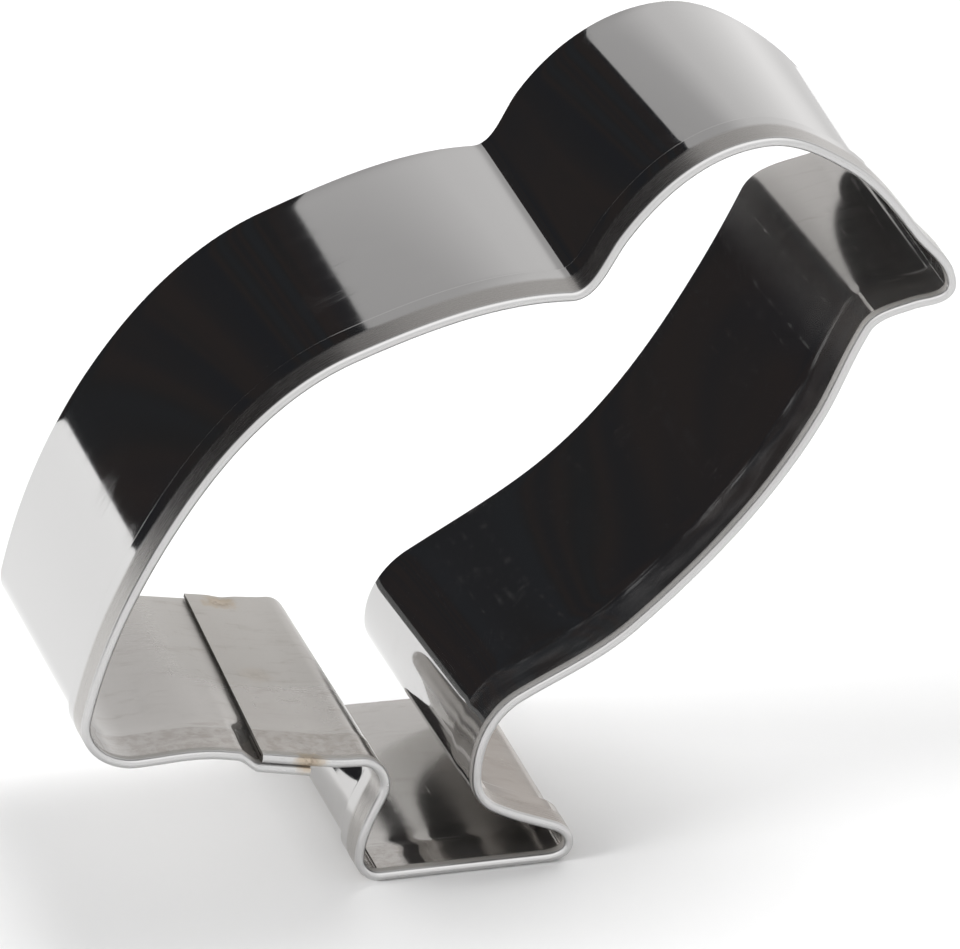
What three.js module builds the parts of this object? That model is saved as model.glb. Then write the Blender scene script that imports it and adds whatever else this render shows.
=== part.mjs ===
// Bird-shaped cookie cutter: one thin steel strip, hemmed along its rim, bent round the outline of
// a small bird and closed by a spot-welded lap under the body.
//
// Millimetres, +Z up, +X towards the beak. The cutter stands on the sole of its foot, with its
// rim on the -Y side and its cutting edge on the +Y side. The origin is the middle of the flat
// face that the hem gives the sole.

import * as THREE from 'three';

// The strip
const STRIP_THICKNESS = 0.25;
const BAND_DEPTH = 25; // from the rim to the cutting edge
const HEM_WIDTH = 3.9; // how far the rim is folded back over the outside
const HEM_GAP = 0.1; // left inside the fold
const HEM_THICKNESS = 2 * STRIP_THICKNESS + HEM_GAP;
const FOLD_RADIUS = HEM_THICKNESS / 2;

// The outline is the inside of the strip. Reaches are measured from the middle of the sole,
// forwards to the beak or back to the tail, and heights from the inside of the sole.

// The foot
const SOLE_LENGTH = 10.8; // flat part, between the bends of the heel and the toe
const HEEL_BEND = 1.1;
const TOE_BEND = 1.3;
const TOE_TIP_HEIGHT = 0.7;
const TOE_TOP_HEIGHT = 1.7;
const TOE_TOP_BACK = 1; // from the tip of the toe back to its straight top

// The leg
const SHIN_REACH = 0.6;
const LEG_WIDTH = 5.4;
const ANKLE_HEIGHT = 3.4;
const ANKLE_BEND = 1.3;
const SHIN_RISE = 2.2; // from the ankle to the straight shin
const CALF_HEIGHT = 4.3;
const CALF_LEAN = 0.7; // from the hock back to the calf
const HIP_HEIGHT = 8.2;
const HIP_BEND = 1.9;

// The body
const LAP_BACK = 2.1; // from the hip to the start of the straight lap
const LAP_RISE = 0.2;
const LAP_HEADING = 169;
const UNDERSIDE_HEIGHT = 9.8;
const TAIL_REACH = 24.2;
const TAIL_BEND = 3;
const RUMP_REACH = 18.3;
const RUMP_HEIGHT = 25.7;
const NAPE_REACH = 6.8;
const NAPE_HEIGHT = 38.3;
const BACK_BEHIND = 13.8; // from the nape to the middle of the back
const BACK_DROP = 2.7;
const BELLY_REACH = 10.9;
const BELLY_HEIGHT = 15.5;
const THIGH_REACH = 3; // from the shin
const THIGH_HEIGHT = 11.5;

// The head
const NECK_BEND = 3.75; // from the nape
const CROWN_REACH = 12.7; // from the nape
const CROWN_RISE = 9.2;
const BROW_REACH = 5.2; // from the crown
const BROW_DROP = 2.1;
const BEAK_REACH = 24.7; // from the nape to the tip of the beak
const BEAK_DROP = 1.3;
const BEAK_LENGTH = 2.3;
const BEAK_TOP_RISE = 3.4; // from the tip of the beak
const BEAK_UNDER_DROP = 1;
const THROAT_BACK = 5.5; // from the tip of the beak
const THROAT_DROP = 2.5;
const BREAST_BACK = 3; // from the throat
const BREAST_DROP = 5.8;

// The lap under the body, measured along its straight run from the end next to the leg
const LAP_RUN = 7;
const OUTER_END = 1.1; // where the outer layer of the lap stops
const LAP_OVERLAP = 3.3;
const INNER_END = OUTER_END + LAP_OVERLAP; // where the inner layer stops
const JOGGLE_CLEARANCE = 0.15; // between the end of the inner layer and the joggle
const JOGGLE_LENGTH = 1.3; // over which the outer layer steps outwards
const LAP_GAP = 0.1; // between the two layers

// The spot welds
const WELD_DIAMETER = 1.5;
const WELD_END_MARGIN = 0.1; // from the end of the outer layer to the row of welds
const WELD_EDGE_MARGIN = 1.6; // from the cutting edge to the middle of the last weld

// How finely the bends are faceted
const BEND_STEP = THREE.MathUtils.degToRad(6);
const BEND_SAMPLES = 200; // looks along each bend for the next facet
const FOLD_STEPS = 6;
const JOGGLE_STEPS = 6;
const WELD_SIDES = 24;

/** Point of the outline, with the direction of travel there: 0 to the beak, 90 up, 180 to the tail. */
function knot(x, z, heading) {
  return { x, z, heading };
}

const HALF_SOLE = SOLE_LENGTH / 2;
const LEG_BACK = SHIN_REACH - LEG_WIDTH;
const TOE_TIP = HALF_SOLE + TOE_BEND;
const CROWN = knot(NAPE_REACH + CROWN_REACH, NAPE_HEIGHT + CROWN_RISE, 2);
const BEAK_TIP = knot(NAPE_REACH + BEAK_REACH, NAPE_HEIGHT - BEAK_DROP, -85);
const BEAK_ROOT = BEAK_TIP.x - BEAK_LENGTH;
const THROAT = knot(BEAK_TIP.x - THROAT_BACK, BEAK_TIP.z - THROAT_DROP, -122);
const LAP_START = knot(LEG_BACK - HIP_BEND - LAP_BACK, HIP_HEIGHT + LAP_RISE, LAP_HEADING);

// The outline, walked clockwise from the tail end of the lap to the hip
const BODY_KNOTS = [
  knot(TAIL_BEND - TAIL_REACH, UNDERSIDE_HEIGHT, 181), // underside
  knot(-TAIL_REACH, UNDERSIDE_HEIGHT + TAIL_BEND, 77), // tail
  knot(-RUMP_REACH, RUMP_HEIGHT, 56), // rump
  knot(NAPE_REACH - BACK_BEHIND, NAPE_HEIGHT - BACK_DROP, 20), // back
  knot(NAPE_REACH, NAPE_HEIGHT, -4), // nape
  knot(NAPE_REACH + NECK_BEND, NAPE_HEIGHT + NECK_BEND, 52), // neck
  CROWN,
  knot(CROWN.x + BROW_REACH, CROWN.z - BROW_DROP, -34), // brow
  knot(BEAK_ROOT, BEAK_TIP.z + BEAK_TOP_RISE, -55), // top of the beak
  BEAK_TIP,
  knot(BEAK_ROOT, BEAK_TIP.z - BEAK_UNDER_DROP, -166), // under the beak
  THROAT,
  knot(THROAT.x - BREAST_BACK, THROAT.z - BREAST_DROP, -121), // breast
  knot(BELLY_REACH, BELLY_HEIGHT, -141), // belly
  knot(SHIN_REACH + THIGH_REACH, THIGH_HEIGHT, -152), // thigh
  knot(SHIN_REACH, ANKLE_HEIGHT + SHIN_RISE, -88), // shin
  knot(SHIN_REACH + ANKLE_BEND, ANKLE_HEIGHT, -31), // ankle
  knot(TOE_TIP - TOE_TOP_BACK, TOE_TOP_HEIGHT, -22), // top of the toe
  knot(TOE_TIP, TOE_TIP_HEIGHT, -90), // tip of the toe
  knot(HALF_SOLE, 0, 180), // front of the sole
  knot(-HALF_SOLE, 0, 180), // back of the sole
  knot(-HALF_SOLE - HEEL_BEND, HEEL_BEND, 88), // heel
  knot(LEG_BACK - CALF_LEAN, CALF_HEIGHT, 64), // calf
  knot(LEG_BACK, HIP_HEIGHT - HIP_BEND, 95), // hock
  knot(LEG_BACK - HIP_BEND, HIP_HEIGHT, 177), // hip
];

/** Unit direction of travel at a heading in degrees. */
function directionOf(heading) {
  const angle = THREE.MathUtils.degToRad(heading);
  return new THREE.Vector2(Math.cos(angle), Math.sin(angle));
}

/** Outward side of the strip, to the left of the direction of travel. */
function outwardOf(direction) {
  return new THREE.Vector2(-direction.y, direction.x);
}

/** Bend between two knots: leaves the first and meets the second along their headings. */
function bendBetween(from, to) {
  const start = new THREE.Vector2(from.x, from.z);
  const end = new THREE.Vector2(to.x, to.z);
  const turn = THREE.MathUtils.euclideanModulo(to.heading - from.heading + 180, 360) - 180;
  const easing = Math.cos(THREE.MathUtils.degToRad(turn) / 4) ** 2;
  const handle = start.distanceTo(end) / (3 * easing);
  const afterStart = start.clone().addScaledVector(directionOf(from.heading), handle);
  const beforeEnd = end.clone().addScaledVector(directionOf(to.heading), -handle);
  return new THREE.CubicBezierCurve(start, afterStart, beforeEnd, end);
}

/** Stations along a bend, a new one each time the strip has turned by BEND_STEP. */
function stationsAlong(bend) {
  const stations = [];
  let last = null;
  let turned = 0;
  for (let i = 0; i < BEND_SAMPLES; i += 1) {
    const direction = bend.getTangent(i / BEND_SAMPLES);
    turned += last ? Math.abs(last.cross(direction)) : 0;
    if (!last || turned >= BEND_STEP) {
      stations.push({ point: bend.getPoint(i / BEND_SAMPLES), outward: outwardOf(direction), lift: 0 });
      turned = 0;
    }
    last = direction;
  }
  return stations;
}

/** Station on the straight run of the lap. lift is 1 where the strip is the lap's outer layer. */
function lapStation(distance, lift) {
  const direction = directionOf(LAP_HEADING);
  const point = new THREE.Vector2(LAP_START.x, LAP_START.z).addScaledVector(direction, distance);
  return { point, outward: outwardOf(direction), lift };
}

/** The strip from the end of its outer layer, once round the bird, to the end of its inner layer. */
function stripStations() {
  const lapEnd = lapStation(LAP_RUN, 0);
  const knots = [knot(lapEnd.point.x, lapEnd.point.y, LAP_HEADING), ...BODY_KNOTS, LAP_START];
  const joggleStart = INNER_END + JOGGLE_CLEARANCE;
  const stations = [lapStation(OUTER_END, 1)];
  for (let i = 0; i <= JOGGLE_STEPS; i += 1) {
    const along = i / JOGGLE_STEPS;
    const lift = 1 - THREE.MathUtils.smoothstep(along, 0, 1);
    stations.push(lapStation(joggleStart + along * JOGGLE_LENGTH, lift));
  }
  for (let i = 0; i + 1 < knots.length; i += 1) {
    stations.push(...stationsAlong(bendBetween(knots[i], knots[i + 1])));
  }
  stations.push(lapStation(0, 0), lapStation(INNER_END, 0));
  return stations;
}

/** Half circle of the fold, from its wall side to its hem side. */
function foldArc(radius) {
  const arc = [];
  for (let i = 0; i <= FOLD_STEPS; i += 1) {
    const angle = Math.PI * (1 + i / FOLD_STEPS);
    arc.push(new THREE.Vector2(
      FOLD_RADIUS + radius * Math.cos(angle),
      FOLD_RADIUS + radius * Math.sin(angle),
    ));
  }
  return arc;
}

/** Cross-section of the hemmed strip: x outwards from its inside face, y in from the rim. */
function stripSection() {
  return [
    new THREE.Vector2(0, BAND_DEPTH),
    ...foldArc(FOLD_RADIUS),
    new THREE.Vector2(HEM_THICKNESS, HEM_WIDTH),
    new THREE.Vector2(HEM_THICKNESS - STRIP_THICKNESS, HEM_WIDTH),
    ...foldArc(HEM_GAP / 2).reverse(),
    new THREE.Vector2(STRIP_THICKNESS, BAND_DEPTH),
  ];
}

/** How far the outer layer of the lap steps outwards: over the hem at the rim, less at the edge. */
function joggleAt(depth) {
  const slope = (HEM_THICKNESS - STRIP_THICKNESS) / (BAND_DEPTH - HEM_WIDTH);
  return STRIP_THICKNESS + LAP_GAP + slope * (BAND_DEPTH - depth);
}

/** Point of the cutter at a station, so far outwards and so far in from the rim. */
function placeAt(station, outwards, depth) {
  const flat = station.point.clone().addScaledVector(station.outward, outwards);
  const soleMiddle = (FOLD_RADIUS + HEM_WIDTH) / 2;
  return new THREE.Vector3(flat.x, depth - soleMiddle, flat.y + HEM_THICKNESS);
}

/** Closed body through rings of matching points, with both end rings filled like the outline. */
function loft(rings, outline) {
  const sides = outline.length;
  const last = (rings.length - 1) * sides;
  const faces = [];
  for (let ring = 0; ring < last; ring += sides) {
    for (let i = 0; i < sides; i += 1) {
      const here = ring + i;
      const next = ring + ((i + 1) % sides);
      faces.push(here, here + sides, next + sides, here, next + sides, next);
    }
  }
  for (const [a, b, c] of THREE.ShapeUtils.triangulateShape(outline, [])) {
    faces.push(a, b, c, last + a, last + c, last + b);
  }
  const geometry = new THREE.BufferGeometry().setFromPoints(rings.flat());
  geometry.setIndex(faces);
  geometry.computeVertexNormals();
  return geometry;
}

/** The hemmed strip, swept round the bird. */
function bandGeometry() {
  const section = stripSection();
  const ringAt = (station) => section.map(
    ({ x, y }) => placeAt(station, x + station.lift * joggleAt(y), y),
  );
  return loft(stripStations().map(ringAt), section);
}

/** Weld nugget between the two layers of the lap, standing on the inner layer's outside face. */
function weldGeometry(depth, innerFace) {
  const disc = [];
  for (let i = 0; i < WELD_SIDES; i += 1) {
    const angle = (2 * Math.PI * i) / WELD_SIDES;
    disc.push(new THREE.Vector2(Math.cos(angle), Math.sin(angle)).multiplyScalar(WELD_DIAMETER / 2));
  }
  const row = OUTER_END + WELD_END_MARGIN + WELD_DIAMETER / 2;
  const ring = (faceAt) => disc.map(
    ({ x, y }) => placeAt(lapStation(row + x, 0), faceAt(depth + y), depth + y),
  );
  return loft([ring(joggleAt), ring(() => innerFace)], disc);
}

const steel = new THREE.MeshStandardMaterial({ color: 0xc8cbd0, roughness: 0.18, metalness: 1 });
const weldedSteel = new THREE.MeshStandardMaterial({ color: 0xa58a6c, roughness: 0.45, metalness: 1 });

const cutter = new THREE.Group();
cutter.name = 'bird_cookie_cutter';

/** Adds one named piece to the cutter. */
function addPiece(name, geometry, material) {
  const piece = new THREE.Mesh(geometry, material);
  piece.name = name;
  cutter.add(piece);
}

addPiece('cutter_band', bandGeometry(), steel);
addPiece('spot_weld_rim', weldGeometry((FOLD_RADIUS + HEM_WIDTH) / 2, HEM_THICKNESS), weldedSteel);
addPiece('spot_weld_middle', weldGeometry(BAND_DEPTH / 2, STRIP_THICKNESS), weldedSteel);
addPiece('spot_weld_edge', weldGeometry(BAND_DEPTH - WELD_EDGE_MARGIN, STRIP_THICKNESS), weldedSteel);

export default cutter;
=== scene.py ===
"""Looks of a bird-shaped cookie cutter: a hemmed strip of polished steel, bent round the bird by hand
and closed by a spot-welded lap, on a pale studio floor. Sizes are in millimetres until a mesh is made,
apart from those of the floor and the lights."""

import math
from dataclasses import dataclass

import bpy
import numpy as np
from mathutils import Matrix, Vector
from mathutils.geometry import tessellate_polygon


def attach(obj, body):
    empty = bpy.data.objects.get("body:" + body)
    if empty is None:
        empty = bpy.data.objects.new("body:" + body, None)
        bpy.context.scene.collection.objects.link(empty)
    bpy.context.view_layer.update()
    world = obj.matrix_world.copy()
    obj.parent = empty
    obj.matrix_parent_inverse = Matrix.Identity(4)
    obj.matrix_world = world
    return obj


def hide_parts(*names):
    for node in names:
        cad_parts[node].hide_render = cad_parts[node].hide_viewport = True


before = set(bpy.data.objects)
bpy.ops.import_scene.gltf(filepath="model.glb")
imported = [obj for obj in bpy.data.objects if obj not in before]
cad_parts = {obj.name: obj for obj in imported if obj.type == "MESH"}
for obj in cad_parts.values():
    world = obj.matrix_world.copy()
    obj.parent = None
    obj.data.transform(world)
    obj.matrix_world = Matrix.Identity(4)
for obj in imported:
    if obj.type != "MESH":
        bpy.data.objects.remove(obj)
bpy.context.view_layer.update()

MM = 0.001

# The strip
STRIP_THICKNESS = 0.25
BAND_DEPTH = 25.0
HEM_WIDTH = 3.9
HEM_GAP = 0.1
HEM_THICKNESS = 2 * STRIP_THICKNESS + HEM_GAP
FOLD_RADIUS = HEM_THICKNESS / 2
SOLE_MIDDLE = (FOLD_RADIUS + HEM_WIDTH) / 2  # depth of the origin, half-way along the hem
SHEARED_ROUND = 0.04  # of the strip's cut edges
EDGE_FLARE = 0.015  # outwards, over the last of the cutting edge
EDGE_FLARE_DEPTH = 1.0
HEM_PRINT = 0.02  # ridge that the hem's raw edge pushes through to the inside
HEM_PRINT_WIDTH = 0.8
HEM_HOLD = 0.05  # part of the cutting edge's stray that comes where the stiff hem stops
HEM_HOLD_START = HEM_WIDTH - 0.6
HEM_HOLD_RUN = 1.6

# The lap under the body, along its straight run from the end next to the leg
LAP_RUN = 7.0
OUTER_END = 1.1
INNER_END = 4.4
INNER_END_SKEW = 0.65  # how much sooner the inner layer stops at the cutting edge
RIM_STEP = HEM_THICKNESS + 0.08  # from the inner layer to the outer one, at the rim
EDGE_STEP = STRIP_THICKNESS + 0.1  # and at the cutting edge
STEP_RUN = 3.0  # behind the hem, over which the layers come together
JOGGLE_LENGTH = 1.6

# The spot welds: place along the lap, depth, sink and radius of their prints
WELD_ROW = 1.95
WELD_PRINTS = ((WELD_ROW, 2.1, 0.03, 0.7), (WELD_ROW, 12.5, 0.03, 0.8), (1.5, 24.4, 0.2, 0.8))
HEAT_TINTS = ((1.3, -0.3, 1.0), (WELD_ROW, 12.5, 0.2), (1.6, 23.9, 0.8))  # along, depth and strength

# How finely the strip is drawn
BEND_STEP = 0.4
TURN_STEP = 2.5
LAP_STEP = 0.12
WALL_STEP = 0.7
HEM_STEP = 0.2
FOLD_STEPS = 14
CORNER_STEPS = 4
LENGTH_STEPS = 40  # for measuring a bend
BY_EDGE = (0, 0.05, 0.2, 0.45)  # rings close to the cutting edge, where it flares
BEHIND_EDGE = 0.8  # where the even rings of the wall start
BEHIND_HEM = 2.0  # and where they stop, for closer ones
BY_FOLD = 0.15  # and where those stop
HEM_FACE_STEP = 0.4
HEM_FACE_ENDS = (0.1, 0.05)  # bare next to the fold and to the raw edge
UNDER_HEM_STEP = 0.9
UNDER_HEM_END = 0.1


@dataclass
class Knot:
    """Point of the outline, on the inside of the strip: forwards of the middle of the sole, above the
    sole's inside, and the heading there, 0 to the beak and 90 up. stray is how far the cutting edge
    lies from the rim, because the strip was bent by hand."""

    name: str
    x: float
    z: float
    heading: float
    stray: tuple = (0, 0, 0)

    def at_rim(self):
        return np.array((self.x, self.z, self.heading), float)

    def at_edge(self):
        return self.at_rim() + self.stray


LAP_START = Knot("lap start", -8.8, 8.4, 169, (0.1, 0.3, 1))
UNDERSIDE = Knot("underside", -21.2, 9.8, 181, (0, -0.3, 0))
TAIL = Knot("tail", -24.2, 12.8, 77, (-0.1, -0.4, 0))
RUMP = Knot("rump", -18.3, 25.7, 56, (-0.1, 0.1, -1))
BACK = Knot("back", -7, 35.6, 20, (0, -0.1, 1))
NAPE = Knot("nape", 6.8, 38.3, -4, (0, 0.4, 2))
NECK = Knot("neck", 10.55, 42.05, 52, (-0.4, 0.3, 0))
CROWN = Knot("crown", 19.5, 47.5, 2, (0, 0, -1))
BROW = Knot("brow", 24.7, 45.4, -34, (0.1, 0.1, -1))
BEAK_TOP = Knot("beak top", 29.2, 40.4, -55, (0.4, 0.3, -1))
BEAK_TIP = Knot("beak tip", 31.5, 37, -85, (0.3, 0.2, 0))
BEAK_UNDER = Knot("beak under", 29.2, 36, -166, (0.4, 0.2, 0))
THROAT = Knot("throat", 26, 34.5, -122, (-1.0, -0.4, 5))
BREAST = Knot("breast", 23, 28.7, -121, (-0.7, 0.5, 0))
BELLY = Knot("belly", 10.9, 15.5, -141, (-0.1, 0.15, -4))
THIGH = Knot("thigh", 3.6, 11.5, -152, (-1, -0.7, 2))
SHIN = Knot("shin", 0.6, 5.6, -88, (-0.9, 0.3, 0))
ANKLE = Knot("ankle", 1.9, 3.4, -31, (-0.6, 0.1, 0))
TOE_TOP = Knot("toe top", 5.7, 1.7, -22)
TOE_TIP = Knot("toe tip", 6.7, 0.7, -90)
SOLE_FRONT = Knot("sole front", 5.4, 0, 180)
SOLE_BACK = Knot("sole back", -5.4, 0, 180, (0, 0.1, 0))
HEEL = Knot("heel", -6.5, 1.1, 88, (-0.2, 0, 0))
CALF = Knot("calf", -5.5, 4.3, 64, (-0.5, 0, -24))
HOCK = Knot("hock", -4.8, 6.3, 95, (-0.6, -0.1, 0))
HIP = Knot("hip", -6.7, 8.2, 177, (-0.3, 0.3, 0))
BODY = (
    UNDERSIDE, TAIL, RUMP, BACK, NAPE, NECK, CROWN, BROW, BEAK_TOP, BEAK_TIP, BEAK_UNDER, THROAT, BREAST,
    BELLY, THIGH, SHIN, ANKLE, TOE_TOP, TOE_TIP, SOLE_FRONT, SOLE_BACK, HEEL, CALF, HOCK, HIP, LAP_START,
)


def smoothstep(value):
    t = np.clip(value, 0, 1)
    return t * t * (3 - 2 * t)


def direction(heading):
    angle = math.radians(heading)
    return np.array((math.cos(angle), math.sin(angle)))


def outward(travel):
    """Outside of the strip, to the left of its unit direction of travel."""
    return np.stack((-travel[..., 1], travel[..., 0]), axis=-1)


def bend(start, end, t):
    """Points and outward sides of the bend from one knot to the next, along their headings."""
    turn = (end[2] - start[2] + 180) % 360 - 180
    handle = math.dist(start[:2], end[:2]) / (3 * math.cos(math.radians(turn) / 4) ** 2)
    a, d = start[:2], end[:2]
    b = a + handle * direction(start[2])
    c = d - handle * direction(end[2])
    t = np.asarray(t)[:, None]
    s = 1 - t
    points = s**3 * a + 3 * s**2 * t * b + 3 * s * t**2 * c + t**3 * d
    travel = s**2 * (b - a) + 2 * s * t * (c - b) + t**2 * (d - c)
    return points, outward(travel / np.linalg.norm(travel, axis=1, keepdims=True))


def lap(knot, distances):
    """Points and outward sides on the straight run of the lap."""
    heading = direction(knot[2])
    points = knot[:2] + np.asarray(distances)[:, None] * heading
    return points, np.broadcast_to(outward(heading), points.shape)


def moved_out(knot, distance):
    x, z = knot[:2] + distance * outward(direction(knot[2]))
    return np.array((x, z, knot[2]))


def lap_end(knot):
    points, _ = lap(knot, [LAP_RUN])
    return np.array((*points[0], knot[2]))


def even(start, end, step):
    return np.linspace(start, end, max(2, round(abs(end - start) / step) + 1))


def strip_stations():
    """Stations from the end of the lap's outer layer, once round the bird, to the end of its inner layer:
    points and outward sides at the rim and at the cutting edge, the distance along the lap, or nan, and
    whether they are on its outer layer."""
    outer = even(OUTER_END, LAP_RUN, LAP_STEP)[:-1]
    inner = even(0, INNER_END, LAP_STEP)
    ends = []
    for at in (Knot.at_rim, Knot.at_edge):
        start = at(LAP_START)
        outer_start = start if at is Knot.at_rim else moved_out(start, EDGE_STEP)
        knots = [lap_end(outer_start), *(at(knot) for knot in BODY)]
        runs = [lap(outer_start, outer)]
        for number, (a, b) in enumerate(zip(knots, knots[1:])):
            count = STEPS_BETWEEN[number]
            runs.append(bend(a, b, np.arange(count) / count))
        runs.append(lap(start, inner))
        ends += [np.vstack([run[0] for run in runs]), np.vstack([run[1] for run in runs])]
    along_lap = np.full(len(ends[0]), np.nan)
    along_lap[: len(outer)] = outer
    along_lap[-len(inner):] = inner
    is_outer = np.arange(len(along_lap)) < len(outer)
    return (*ends, along_lap, is_outer)


def steps_between(knots):
    """Stations on each bend of the outline, closer where it turns more."""
    counts = []
    for a, b in zip(knots, knots[1:]):
        turn = abs((b[2] - a[2] + 180) % 360 - 180)
        counts.append(math.ceil(max(math.dist(a[:2], b[:2]) / BEND_STEP, turn / TURN_STEP)))
    return counts


OUTLINE = [lap_end(LAP_START.at_rim()), *(knot.at_rim() for knot in BODY)]
STEPS_BETWEEN = steps_between(OUTLINE)
BEND_LENGTHS = [
    np.linalg.norm(np.diff(bend(a, b, np.linspace(0, 1, LENGTH_STEPS))[0], axis=0), axis=1).sum()
    for a, b in zip(OUTLINE, OUTLINE[1:])
]

# Faces of the strip
INSIDE, HEM, SHEARED, UNDER_HEM, OUTSIDE = range(5)
OTHER_FACES = 40.0  # third coordinate of all but the inside, so that its marks aren't mirrored on them


def quarter(out, depth, radius, start, steps=CORNER_STEPS):
    """Points between the ends of a quarter circle of the section, about a centre, from start degrees on."""
    angles = np.radians(start + 90 * np.arange(1, steps) / steps)
    return [(out + radius * math.cos(a), depth + radius * math.sin(a)) for a in angles]


def strip_section():
    """Closed cross-section of the hemmed strip: how far out from its inside face, depth, and face."""
    t, r = STRIP_THICKNESS, SHEARED_ROUND
    edge = BAND_DEPTH - r
    by_edge = [edge - behind for behind in BY_EDGE]
    wall = even(edge - BEHIND_EDGE, HEM_WIDTH + BEHIND_HEM, WALL_STEP)
    by_hem = even(HEM_WIDTH + BEHIND_HEM - HEM_STEP, FOLD_RADIUS + BY_FOLD, HEM_STEP)
    inside = [*by_edge, *wall, *by_hem, FOLD_RADIUS]
    section = [(-print_through(depth), depth, INSIDE) for depth in inside]
    section += [(*p, INSIDE) for p in quarter(FOLD_RADIUS, FOLD_RADIUS, FOLD_RADIUS, 180, FOLD_STEPS)]
    section += [(FOLD_RADIUS, 0, HEM)]
    section += [(*p, HEM) for p in quarter(FOLD_RADIUS, FOLD_RADIUS, FOLD_RADIUS, 270, FOLD_STEPS)]
    by_fold, by_raw_edge = HEM_FACE_ENDS
    hem = even(FOLD_RADIUS + by_fold, HEM_WIDTH - r - by_raw_edge, HEM_FACE_STEP)
    section += [(HEM_THICKNESS, depth, HEM) for depth in (FOLD_RADIUS, *hem, HEM_WIDTH - r)]
    section += [(*p, SHEARED) for p in quarter(HEM_THICKNESS - r, HEM_WIDTH - r, r, 0)]
    section += [(HEM_THICKNESS - r, HEM_WIDTH, SHEARED), (HEM_THICKNESS - t, HEM_WIDTH, SHEARED)]
    under_hem = even(HEM_WIDTH - UNDER_HEM_END, FOLD_RADIUS, UNDER_HEM_STEP)
    section += [(HEM_THICKNESS - t, depth, UNDER_HEM) for depth in under_hem]
    gap = HEM_GAP / 2
    section += [(*p, UNDER_HEM) for p in quarter(FOLD_RADIUS, FOLD_RADIUS, gap, 270)[::-1]]
    section += [(FOLD_RADIUS, FOLD_RADIUS - gap, UNDER_HEM)]
    section += [(*p, UNDER_HEM) for p in quarter(FOLD_RADIUS, FOLD_RADIUS, gap, 180)[::-1]]
    section += [(t, depth, OUTSIDE) for depth in inside[::-1]]
    section += [(*p, SHEARED) for p in quarter(t - r, edge, r, 0)]
    section += [(t - r, BAND_DEPTH, SHEARED), (t / 2, BAND_DEPTH, SHEARED), (r, BAND_DEPTH, SHEARED)]
    section += [(*p, SHEARED) for p in quarter(r, edge, r, 90)]
    return np.array([p[:2] for p in section]), np.array([p[2] for p in section])


def print_through(depth):
    """How far the hem's raw edge shows on the inside."""
    return HEM_PRINT * math.exp(-(((depth - HEM_WIDTH) / HEM_PRINT_WIDTH) ** 2))


def edge_share(depth):
    """How far the strip has gone over from the rim's outline to the cutting edge's."""
    released = smoothstep((depth - HEM_HOLD_START) / HEM_HOLD_RUN)
    return np.clip(depth / BAND_DEPTH, 0, 1) * (1 - HEM_HOLD) + released * HEM_HOLD


def inner_end(depth):
    """Where the inner layer of the lap stops."""
    return INNER_END - INNER_END_SKEW * depth / BAND_DEPTH


def lap_lift(along, depth):
    """How far the joggle puts the outer layer of the lap outwards: clear of the inner layer's hem at the
    rim, and close to its bare strip behind that."""
    behind_hem = smoothstep((depth - HEM_WIDTH) / STEP_RUN)
    step = RIM_STEP + (EDGE_STEP - RIM_STEP) * behind_hem
    joggle = 1 - smoothstep((along - inner_end(depth)) / JOGGLE_LENGTH)
    return (step - EDGE_STEP * edge_share(depth)) * joggle


def weld_sink(along, depth):
    """How far the spot welds press the lap outwards."""
    return sum(
        sink * np.exp(-((along - weld_along) ** 2 + (depth - weld_depth) ** 2) / radius**2)
        for weld_along, weld_depth, sink, radius in WELD_PRINTS
    )


# How much the strip was handled in shaping it, and how much painted shade darkens it low down near the
# floor, from the lap's outer layer round to its inner one: real haze and smears on the beak, mostly painted
# shade on the lap, underside, leg and foot.
HANDLED_AND_SHADED_INSIDE = {
    "outer end": 1, "underside": 0.6, "tail": 0, "brow": 0, "beak tip": 0.35, "beak under": 0.58,
    "throat": 0.58, "breast": 0, "thigh": 0, "shin": 0.05, "ankle": 0.3, "toe tip": 0.6, "heel": 0.6,
    "calf": 0.8, "inner end": 1,
}
HANDLED_AND_SHADED_OUTSIDE = {
    "outer end": 0.4, "underside": 0.2, "tail": 0, "thigh": 0, "shin": 0.9, "ankle": 1, "sole back": 0.8,
    "heel": 0.1, "hip": 0, "inner end": 0,
}


def handled_and_shaded_share(travelled, shares):
    """How much each station was handled, and how much painted shade darkens it, from the shares at some
    knots.
    """
    lengths = LAP_RUN - OUTER_END + np.cumsum(BEND_LENGTHS)
    at = {knot.name: length for knot, length in zip(BODY, lengths)}
    at |= {"outer end": 0, "inner end": travelled[-1]}
    return np.interp(travelled, [at[name] for name in shares], list(shares.values()))


def strip_places(stations, section):
    """Places of the section's points at each station."""
    rim, rim_out, edge, edge_out, along_lap, is_outer = stations
    out, depth = section.T
    share = edge_share(depth)[None, :, None]
    points = rim[:, None] * (1 - share) + edge[:, None] * share
    side = rim_out[:, None] * (1 - share) + edge_out[:, None] * share
    side /= np.linalg.norm(side, axis=2, keepdims=True)

    on_lap = ~np.isnan(along_lap)
    along = np.where(on_lap, along_lap, 0)[:, None]
    lift = np.where((on_lap & is_outer)[:, None], lap_lift(along, depth), 0)
    lift = lift + np.where(on_lap[:, None], weld_sink(along, depth), 0)
    lift = lift + EDGE_FLARE * np.clip((depth - BAND_DEPTH) / EDGE_FLARE_DEPTH + 1, 0, 1) ** 2
    # The inner layer's end isn't cut square, so its stations are drawn back towards the cutting edge.
    is_inner = on_lap & ~is_outer
    drawn_back = np.where(is_inner[:, None], along / INNER_END * (inner_end(depth) - INNER_END), 0)
    points = points + drawn_back[..., None] * direction(LAP_START.heading)

    flat = points + (out + lift)[..., None] * side
    y = np.broadcast_to(depth - SOLE_MIDDLE, flat.shape[:2])
    return np.stack((flat[..., 0], y, flat[..., 1] + HEM_THICKNESS), axis=-1)


def signed_area(triangle):
    (ax, ay), (bx, by), (cx, cy) = triangle
    return (bx - ax) * (cy - ay) - (cx - ax) * (by - ay)


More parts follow.
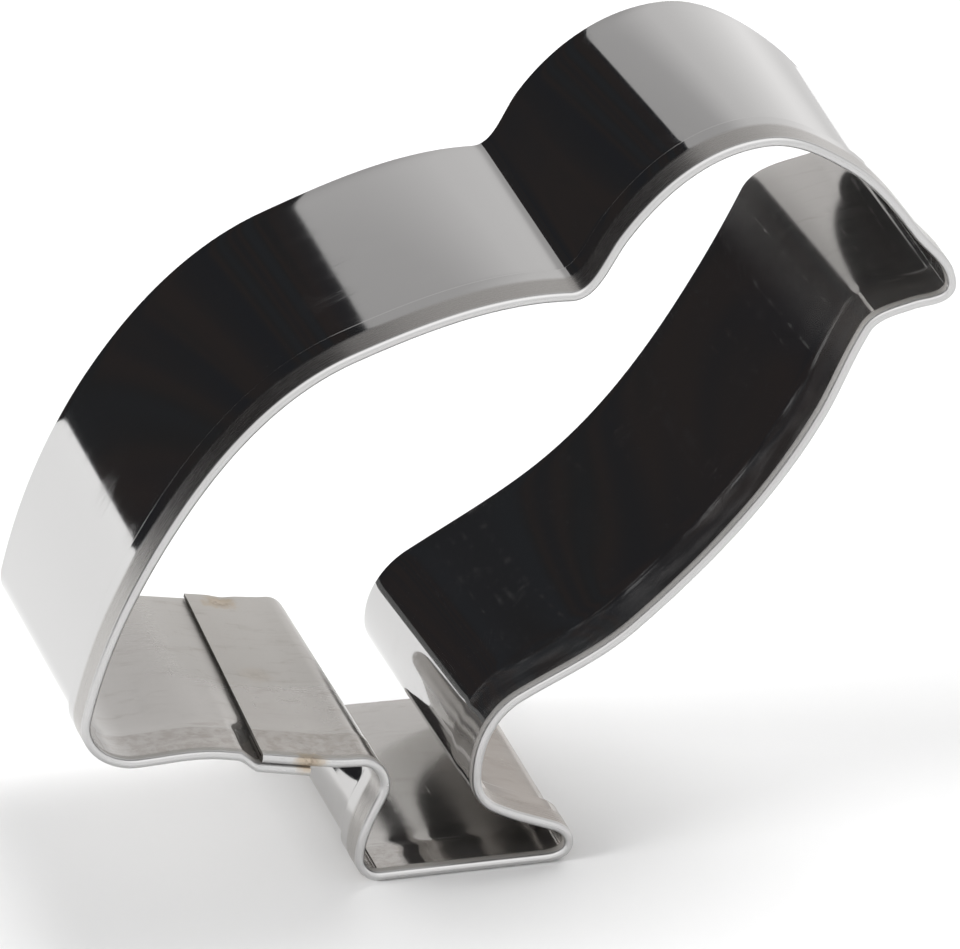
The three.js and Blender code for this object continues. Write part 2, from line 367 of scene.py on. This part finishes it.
def strip_faces(stations, section):
    """Faces between the stations and over the two cut ends, which have vertices of their own."""
    sides = len(section)
    ring = np.arange(sides)
    following = (ring + 1) % sides
    first = (np.arange(stations - 1) * sides)[:, None]
    second = first + sides
    walls = np.stack((first + ring, first + following, second + following, second + ring), axis=-1)
    faces = walls.reshape(-1, 4).tolist()
    cap = tessellate_polygon([[Vector((out, depth, 0)) for out, depth in section]])
    turned = signed_area([section[i] for i in cap[0]]) < 0
    outer_cut = stations * sides
    inner_cut = outer_cut + sides
    for a, b, c in cap:
        a, b, c = (a, c, b) if turned else (a, b, c)
        faces.append([outer_cut + a, outer_cut + c, outer_cut + b])
        faces.append([inner_cut + a, inner_cut + b, inner_cut + c])
    return faces


def strip_mesh():
    """The hemmed strip as one mesh, with the strip's own coordinates on each vertex."""
    stations = strip_stations()
    section, face = strip_section()
    place = strip_places(stations, section)

    rim = stations[0]
    travelled = np.concatenate(([0], np.cumsum(np.linalg.norm(np.diff(rim, axis=0), axis=1))))
    depth = section[:, 1]
    across = np.where(face == HEM, -depth, depth)
    through = np.where(face == INSIDE, 0.0, OTHER_FACES)
    strip = np.stack(np.broadcast_arrays(travelled[:, None], across, through), axis=-1)
    sheared = np.broadcast_to(np.where(face == SHEARED, 1.0, 0.0), place.shape[:2])
    # Each vertex's share of handling and of painted shade, taken from the inside or the outside table.
    handled_and_shaded_by_face = [handled_and_shaded_share(travelled, shares)[:, None] for shares in (HANDLED_AND_SHADED_INSIDE, HANDLED_AND_SHADED_OUTSIDE)]
    handled = np.where(face == INSIDE, *handled_and_shaded_by_face)

    cut_ends = np.ones(2 * len(section))
    vertices = np.vstack((place.reshape(-1, 3), place[0], place[-1]))
    strip = np.vstack((strip.reshape(-1, 3), strip[0], strip[-1]))
    sheared = np.concatenate((sheared.ravel(), cut_ends))
    handled = np.concatenate((handled.ravel(), cut_ends))

    mesh = bpy.data.meshes.new("hemmed_strip")
    mesh.from_pydata((vertices * MM).tolist(), [], strip_faces(len(rim), section))
    coordinates = mesh.attributes.new("strip", "FLOAT_VECTOR", "POINT")
    coordinates.data.foreach_set("vector", strip.astype(np.float32).ravel())
    for name, values in (("sheared", sheared), ("handled", handled)):
        attribute = mesh.attributes.new(name, "FLOAT", "POINT")
        attribute.data.foreach_set("value", values.astype(np.float32))
    mesh.validate()
    mesh.shade_smooth()
    mesh.update()
    return mesh


class Value:
    """Output of a shader node. Sums with it add Math nodes to its tree."""

    def __init__(self, nodes, socket):
        self.nodes, self.socket = nodes, socket

    def math(self, operation, *others, first=None):
        operands = [self, *others] if first is None else [first, self]
        return self.nodes.add("Math", {"operation": operation}, dict(enumerate(operands)))

    def __add__(self, other):
        return self.math("ADD", other)

    __radd__ = __add__

    def __sub__(self, other):
        return self.math("SUBTRACT", other)

    def __rsub__(self, other):
        return self.math("SUBTRACT", first=other)

    def __mul__(self, other):
        return self.math("MULTIPLY", other)

    __rmul__ = __mul__

    def __truediv__(self, other):
        return self.math("DIVIDE", other)

    def rise(self, start, end):
        """0 below start, 1 above end, and smooth between. Falls instead where end is below start."""
        low, high = sorted((start, end))
        settings = {"interpolation_type": "SMOOTHSTEP"}
        up = self.nodes.add("MapRange", settings, {"Value": self, "From Min": low, "From Max": high})
        return up if start < end else 1 - up

    def within(self, start, full, still_full, end):
        """1 from full to still_full, and 0 before start and after end."""
        return self.rise(start, full) * self.rise(end, still_full)


class Nodes:
    """Node tree of a finish or of the studio's surroundings."""

    def __init__(self, tree):
        self.tree = tree
        tree.nodes.clear()

    def add(self, kind, settings=None, sockets=None, output=0):
        """Output of a new node: its settings are set first, then the values or links of its sockets."""
        node = self.tree.nodes.new("ShaderNode" + kind)
        for name, value in (settings or {}).items():
            if name == "stops":
                self.set_stops(node.color_ramp, value)
            else:
                setattr(node, name, value)
        for name, value in (sockets or {}).items():
            if isinstance(value, Value):
                self.tree.links.new(value.socket, node.inputs[name])
            else:
                node.inputs[name].default_value = value
        return Value(self, node.outputs[output]) if len(node.outputs) else node

    def set_stops(self, ramp, stops):
        """Colours or greys of a ramp, each with its place."""
        while len(ramp.elements) < len(stops):
            ramp.elements.new(1)
        for element, (position, colour) in zip(ramp.elements, stops):
            element.position = position
            element.color = (*colour, 1) if isinstance(colour, tuple) else (colour, colour, colour, 1)

    def stretched(self, vector, along, across, through=1.0):
        """vector with a scale of its own in each direction."""
        return self.add("VectorMath", {"operation": "MULTIPLY"}, {0: vector, 1: (along, across, through)})

    def noise(self, vector, scale=1.0, detail=2.0, roughness=0.5):
        sockets = {"Vector": vector, "Scale": scale, "Detail": detail, "Roughness": roughness}
        return self.add("TexNoise", {"noise_dimensions": "3D"}, sockets)

    def lines(self, vector, wide, narrow, detail=1):
        """Thin lines, where a noise passes its middle."""
        off_middle = (self.noise(vector, detail=detail) - 0.5).math("ABSOLUTE")
        return off_middle.rise(wide, narrow)

    def part(self, vector, axis):
        return self.add("SeparateXYZ", sockets={"Vector": vector}, output=axis)

    def blend(self, share, a, b):
        """Colour a, going over to b as share goes from 0 to 1."""
        return self.add("Mix", {"data_type": "RGBA"}, {0: share, 6: a, 7: b}, output=2)


def new_finish(name):
    material = bpy.data.materials.new(name)
    material.use_nodes = True
    return material, Nodes(material.node_tree)


STEEL = (0.545, 0.541, 0.538, 1)
SATIN_STEEL = (0.42, 0.405, 0.39, 1)
# Darker, browner steel for handled and smudged parts, which also serves as painted shade on the lap, leg
# and foot.
HANDLED_AND_SHADED_STEEL = (0.45, 0.43, 0.405, 1)
SMUDGED_AND_SHADED_STEEL = (0.28, 0.245, 0.215, 1)
SHEARED_STEEL = (0.12, 0.11, 0.10, 1)
STRAW_TINT = (0.44, 0.32, 0.18, 1)
BROWN_TINT = (0.16, 0.12, 0.09, 1)


def lap_place(along, depth):
    """Place on the inside of the lap, in metres."""
    share = edge_share(depth)
    (at_rim,), _ = lap(LAP_START.at_rim(), [along])
    (at_edge,), _ = lap(LAP_START.at_edge(), [along])
    x, z = at_rim * (1 - share) + at_edge * share
    return (x * MM, (depth - SOLE_MIDDLE) * MM, (z + HEM_THICKNESS) * MM)


def polished_steel():
    """Bright rolled strip: mirror polish with a faint grain along its length, a satin brushed hem and
    fold, smudges where it was handled, painted shade darkening the low parts near the floor, and heat
    tint round the welds."""
    material, n = new_finish("polished_steel")
    strip = n.add("Attribute", {"attribute_name": "strip"}, output="Vector")
    sheared = n.add("Attribute", {"attribute_name": "sheared"}, output="Fac")
    handled = n.add("Attribute", {"attribute_name": "handled"}, output="Fac")
    place = n.add("TexCoord", output="Object")
    across = n.part(strip, "Y")
    inside = n.part(strip, "Z").rise(0.75 * OTHER_FACES, 0.25 * OTHER_FACES)

    grain = n.noise(n.stretched(strip, 0.12, 9), detail=3, roughness=0.6)
    fine_grain = n.noise(n.stretched(strip, 0.35, 30), detail=2)
    rolling = n.noise(n.stretched(strip, 0.16, 0.1), detail=1)
    film = n.noise(n.stretched(strip, 0.25, 0.7), detail=4, roughness=0.6)
    patches = n.noise(strip, 0.18, 2)

    cells = {"Vector": n.stretched(strip, 0.9, 1.1), "Randomness": 1.0}
    specks = n.add("TexVoronoi", {"feature": "F1"}, cells, output="Distance")
    speck = specks.rise(0.08, 0.05) * patches.rise(0.5, 0.62)
    scratch = n.lines(n.stretched(strip, 0.22, 7), 0.012, 0.004) * patches.rise(0.5, 0.62)
    bend_line = n.lines(n.stretched(strip, 0.3, 0.012), 0.016, 0.004)
    bend_line = bend_line * film.rise(0.45, 0.6) * across.rise(4.5, 6) * inside
    hem_print = across.within(HEM_WIDTH - 0.5, HEM_WIDTH - 0.1, HEM_WIDTH + 0.1, HEM_WIDTH + 0.5) * inside
    rubbed = hem_print * grain.rise(0.45, 0.6) * film.rise(0.42, 0.6)

    satin = across.within(-2.8, -2.2, 0.7, 1.0)
    worn = across.within(0.2, 0.35, 0.6, 0.95) * inside
    fold = across.within(-0.5, -0.25, 0.25, 0.4)
    by_rim = across.within(0.5, 0.9, HEM_WIDTH - 0.1, HEM_WIDTH + 0.1) * inside
    dull = handled * across.math("ABSOLUTE").rise(4, 7)
    hammered = handled.rise(0.6, 0.9) * inside

    mottle = n.noise(strip, 1.3, detail=4, roughness=0.65)
    heat, scorch = 0, 0
    for along, depth, strength in HEAT_TINTS:
        ends = {0: place, 1: lap_place(along, depth)}
        reach = n.add("VectorMath", {"operation": "DISTANCE"}, ends, output="Value")
        reach = reach / MM + (mottle - 0.5) * 2
        heat = heat + reach.rise(1.5, 0.5) * strength
        scorch = scorch + reach.rise(1.2, 0.3) * strength

    wander = n.lines(n.stretched(strip, 0.07, 0.3), 0.011, 0.003, detail=3)
    streak = n.noise(n.stretched(strip, 0.09, 1.3), detail=5, roughness=0.6)
    # Real smudges and streaks where handled, mixed with painted shade on the low parts near the floor.
    smudge_and_shade = streak.rise(0.6, 0.75) * 0.25 + film.rise(0.52, 0.75) * 0.3
    smudge_and_shade = smudge_and_shade + wander * film.rise(0.4, 0.6) * 0.25
    smudge_and_shade = smudge_and_shade + specks.rise(0.16, 0.08) * patches.rise(0.42, 0.55) * 0.6
    smudge_and_shade = smudge_and_shade + by_rim * (0.2 + mottle.rise(0.4, 0.65) * 0.5)
    # Painted shade: the outer faces of the lap, leg and foot are darkened where they mirror the shadowed
    # floor.
    smudge_and_shade = smudge_and_shade + (1 - inside) * (0.65 + film * 0.5)
    smudge_and_shade = smudge_and_shade * handled

    colour = n.blend(satin, STEEL, SATIN_STEEL)
    # These two blends darken the steel with real smudges and, low down near the floor, with painted shade.
    colour = n.blend(handled * (1 - fold), colour, HANDLED_AND_SHADED_STEEL)
    colour = n.blend(smudge_and_shade * (1 - fold), colour, SMUDGED_AND_SHADED_STEEL)
    colour = n.blend(fold, colour, STEEL)
    colour = n.blend(heat * 0.6, colour, STRAW_TINT)
    colour = n.blend(scorch * mottle.rise(0.45, 0.6) * 0.8, colour, BROWN_TINT)
    colour = n.blend(sheared * 0.9, colour, SHEARED_STEEL)

    roughness = 0.03 + grain * 0.03 + film.rise(0.45, 0.7) * 0.015 + dull * (0.1 + grain * 0.1)
    roughness = roughness + hammered * across.rise(8, 13) * 0.15
    roughness = roughness + satin * (0.14 + fine_grain * 0.16) + worn * 0.25 + fold * 0.03 + heat * 0.08
    roughness = roughness + sheared * 0.25 + (scratch + bend_line + rubbed) * 0.08 + speck * 0.15

    relief = rolling * 0.003 + grain * (0.00004 + satin * 0.001 + dull * 0.0002)
    relief = relief + fine_grain * satin * 0.0004
    relief = relief + speck * 0.0008 + scratch * 0.00015 + bend_line * 0.0002
    normal = n.add("Bump", sockets={"Strength": 1.0, "Distance": MM, "Height": relief})

    # Fine scratches scatter light all ways, as bright metal doesn't.
    scuffed = worn * (0.34 + grain * 0.26) + hammered * 0.25 + rubbed * 0.22 + speck * inside * 0.3
    scuffed = scuffed + by_rim * (0.01 + film.rise(0.4, 0.7) * 0.04)
    scuffed = scuffed + handled.rise(0.2, 0.5) * inside * mottle * 0.12
    metallic = 1 - scuffed
    steel = n.add(
        "BsdfPrincipled",
        sockets={"Base Color": colour, "Metallic": metallic, "Roughness": roughness, "Normal": normal},
    )
    n.add("OutputMaterial", sockets={"Surface": steel})
    return material


def heat_tinted_weld():
    """Spot-weld nugget: dull steel, straw to brown from the heat."""
    material, n = new_finish("heat_tinted_weld")
    place = n.add("TexCoord", output="Object")
    mottle = n.noise(place, 2500, 4, 0.6)
    colour = n.blend(mottle.rise(0.35, 0.65), STRAW_TINT, BROWN_TINT)
    relief = n.noise(place, 6000, 3)
    normal = n.add("Bump", sockets={"Strength": 0.5, "Distance": 0.02 * MM, "Height": relief})
    roughness = 0.35 + mottle * 0.25
    weld = n.add(
        "BsdfPrincipled",
        sockets={"Base Color": colour, "Metallic": 1.0, "Roughness": roughness, "Normal": normal},
    )
    n.add("OutputMaterial", sockets={"Surface": weld})
    return material


def pale_floor():
    material, n = new_finish("pale_floor")
    floor = n.add("BsdfPrincipled", sockets={"Base Color": (0.86, 0.86, 0.86, 1), "Roughness": 0.7})
    n.add("OutputMaterial", sockets={"Surface": floor})
    return material


# The floor, in metres
FLOOR_RADIUS = 3.0
FLOOR_DROP = 0.00002
FLOOR_SIDES = 128


def stage_sheet(name, corners, material):
    """Flat sheet of the studio, through its corners."""
    mesh = bpy.data.meshes.new(name)
    mesh.from_pydata(corners, [], [list(range(len(corners)))])
    mesh.materials.append(material)
    sheet = bpy.data.objects.new(name, mesh)
    bpy.context.collection.objects.link(sheet)
    return sheet


def make_floor():
    turns = np.linspace(0, math.tau, FLOOR_SIDES, endpoint=False)
    rim = [(FLOOR_RADIUS * math.cos(a), FLOOR_RADIUS * math.sin(a), -FLOOR_DROP) for a in turns]
    stage_sheet("studio_floor", rim, pale_floor())


# The cards behind the cutter that its walls mirror, in millimetres
CARD_DISTANCE = 160
CARD_REACH = 700
CARD_TOP = 175
DARK_CARD_EDGE = -18
DARK_CARD_BOTTOM = 19
LOW_CARD_DISTANCE = 28
# Shaped so that only the calf mirrors it, and not the tail
LOW_DARK_CARD = ((-18.8, 0), (-19.3, 2.2), (-20.6, 4.2), (-21.5, 6), (-21.5, 7), (-14, 7), (-14, 0))


def dark_card_finish():
    """Black cloth with faint warm and cool folds."""
    material, n = new_finish("dark_card")
    place = n.add("TexCoord", output="Object")
    folds = n.noise(n.stretched(place, 80, 1, 6), detail=2)
    stops = [
        (0.3, (0.019, 0.022, 0.028)),
        (0.45, (0.024, 0.024, 0.026)),
        (0.54, (0.032, 0.027, 0.026)),
        (0.6, (0.024, 0.024, 0.025)),
        (0.7, (0.026, 0.028, 0.031)),
    ]
    shade = n.add("ValToRGB", {"stops": stops}, {"Fac": folds})
    glow = n.add("Emission", sockets={"Color": shade, "Strength": 1.0})
    n.add("OutputMaterial", sockets={"Surface": glow})
    return material


def pale_card_finish():
    """Grey card, brighter down towards the beak side."""
    material, n = new_finish("pale_card")
    place = n.add("TexCoord", output="Object")
    x = n.part(place, "X") / MM
    z = n.part(place, "Z") / MM
    down_right = (x - (z - 119) * 2 + 20) / 320
    stops = [(0, 0.5), (0.08, 0.54), (0.15, 0.69), (0.21, 0.785), (0.7, 0.945), (1, 1.1)]
    brightness = n.add("ValToRGB", {"stops": stops}, {"Fac": down_right})
    brightness = brightness * (0.7 + z.rise(10, 40) * 0.3)
    colour = n.add("VectorMath", {"operation": "SCALE"}, {0: (1, 0.99, 0.985), "Scale": brightness})
    glow = n.add("Emission", sockets={"Color": colour, "Strength": 1.0})
    n.add("OutputMaterial", sockets={"Surface": glow})
    return material


def make_card(name, corners, material, distance=CARD_DISTANCE):
    """Card square behind the cutter, through its corners' x and z. Only the steel shows it."""
    card = stage_sheet(name, [(x * MM, distance * MM, z * MM) for x, z in corners], material)
    card.visible_camera = False
    card.visible_diffuse = False
    card.visible_shadow = False


def box_corners(left, right, bottom, top):
    return [(left, bottom), (right, bottom), (right, top), (left, top)]


def make_cards():
    black_cloth = dark_card_finish()
    on_the_left = box_corners(-CARD_REACH, DARK_CARD_EDGE, DARK_CARD_BOTTOM, CARD_TOP)
    on_the_right = box_corners(DARK_CARD_EDGE, CARD_REACH, 0, CARD_TOP)
    make_card("dark_card", on_the_left, black_cloth)
    make_card("low_dark_card", LOW_DARK_CARD, black_cloth, LOW_CARD_DISTANCE)
    make_card("pale_card", on_the_right, pale_card_finish())


def make_surroundings():
    """Pale walls for the steel to mirror, dim behind the cutter, and soft light from low all round for
    the rest. The view has a plain pale backdrop."""
    world = bpy.data.worlds.new("studio")
    bpy.context.scene.world = world
    world.use_nodes = True
    n = Nodes(world.node_tree)
    towards = n.add("TexCoord", output="Generated")
    y = n.part(towards, "Y")
    z = n.part(towards, "Z")
    walls = 0.15 + y.rise(0.75, -0.1) * 0.95 + z.rise(0.55, 0.95) * 0.6
    haze = z.rise(0.75, 0.35) * 1.4
    diffuse = n.add("LightPath", output="Is Diffuse Ray")
    brightness = walls + diffuse * (haze - walls)
    seen = n.add("LightPath", output="Is Camera Ray")
    brightness = brightness + seen * (1 - brightness)
    background = n.add("Background", sockets={"Color": brightness, "Strength": 1.0})
    n.add("OutputWorld", sockets={"Surface": background})


LIGHT_DISTANCE = 4.0  # in metres, as the softboxes' sizes are


def make_softbox(name, azimuth, elevation, size, power):
    """Square softbox that looks at the cutter, from azimuth degrees clockwise of straight behind it.
    The steel doesn't mirror it."""
    light = bpy.data.lights.new(name, "AREA")
    light.shape = "SQUARE"
    light.size = size
    light.energy = power
    softbox = bpy.data.objects.new(name, light)
    a, e = math.radians(azimuth), math.radians(elevation)
    towards = Vector((math.sin(a) * math.cos(e), math.cos(a) * math.cos(e), math.sin(e)))
    softbox.location = towards * LIGHT_DISTANCE
    softbox.rotation_euler = towards.to_track_quat("Z", "Y").to_euler()
    softbox.visible_camera = False
    softbox.visible_glossy = False
    bpy.context.collection.objects.link(softbox)


VIEW_AIM = Vector((1.5, 0, 26.8)) * MM
VIEW_DISTANCE = 713.25 * MM
VIEW_TURN = math.radians(14.75)
VIEW_DIP = math.radians(24.04)
VIEW_ROLL = math.radians(0.26)
VIEW_LENS = 423.75
SENSOR_WIDTH = 36


def make_camera():
    level = math.cos(VIEW_DIP)
    towards = Vector((math.sin(VIEW_TURN) * level, math.cos(VIEW_TURN) * level, -math.sin(VIEW_DIP)))
    data = bpy.data.cameras.new("camera")
    data.lens = VIEW_LENS
    data.sensor_width = SENSOR_WIDTH
    data.sensor_fit = "HORIZONTAL"
    data.clip_start, data.clip_end = 0.05, 10
    camera = bpy.data.objects.new("camera", data)
    turn = towards.to_track_quat("-Z", "Y").to_matrix().to_4x4()
    roll = Matrix.Rotation(VIEW_ROLL, 4, "Z")
    camera.matrix_world = Matrix.Translation(VIEW_AIM - towards * VIEW_DISTANCE) @ turn @ roll
    bpy.context.collection.objects.link(camera)
    bpy.context.scene.camera = camera


band = bpy.data.objects.new("hemmed_strip", strip_mesh())
band.data.materials.append(polished_steel())
bpy.context.collection.objects.link(band)
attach(band, "root")
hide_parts("cutter_band")

weld_finish = heat_tinted_weld()
for name in ("spot_weld_rim", "spot_weld_middle", "spot_weld_edge"):
    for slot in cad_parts[name].material_slots:
        slot.material = weld_finish

make_floor()
make_cards()
make_softbox("tail_side_softbox", azimuth=-90, elevation=18, size=3, power=245)
make_softbox("high_softbox", azimuth=45, elevation=55, size=2.6, power=122)
make_surroundings()
make_camera()
bpy.context.scene.view_settings.view_transform = "Standard"
